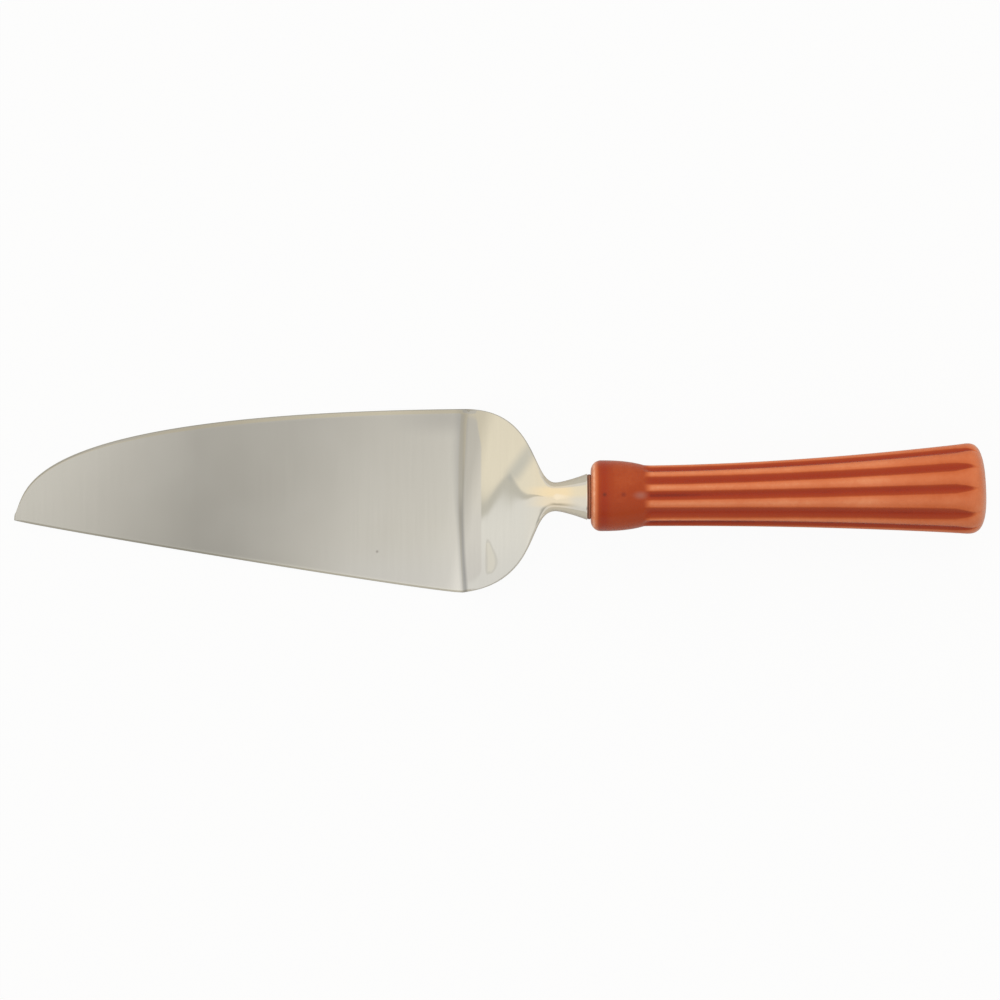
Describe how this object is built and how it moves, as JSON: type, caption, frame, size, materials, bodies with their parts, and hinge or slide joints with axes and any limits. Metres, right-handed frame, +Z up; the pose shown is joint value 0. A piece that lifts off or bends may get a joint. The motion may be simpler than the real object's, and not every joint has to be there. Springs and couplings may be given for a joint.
{
  "type": "cake server",
  "caption": "Cake server: flat bowed steel blade with a ground edge, raised shoulder, round neck and trumpet bolster, set in a flared, fluted, glazed ceramic handle.",
  "frame": {"origin": "on the blade's flat underside, halfway between its tip and its crease, on the line of the neck", "axes": "+X along the server from the tip towards the handle, +Y towards the bowed edge, +Z up off the table that the blade lies on"},
  "size_m": [0.2678, 0.0506, 0.0252],
  "materials": {
    "blade_steel": "polished",
    "tang_steel": "as turned",
    "ring_resin": "set resin",
    "cement": "rough",
    "handle_glaze": "glossy glaze"
  },
  "bodies": {
    "root": {"blade": "blade_steel", "tang": "tang_steel", "sealing_ring": "ring_resin", "cement": "cement", "handle": "handle_glaze"}
  },
  "joints": []
}
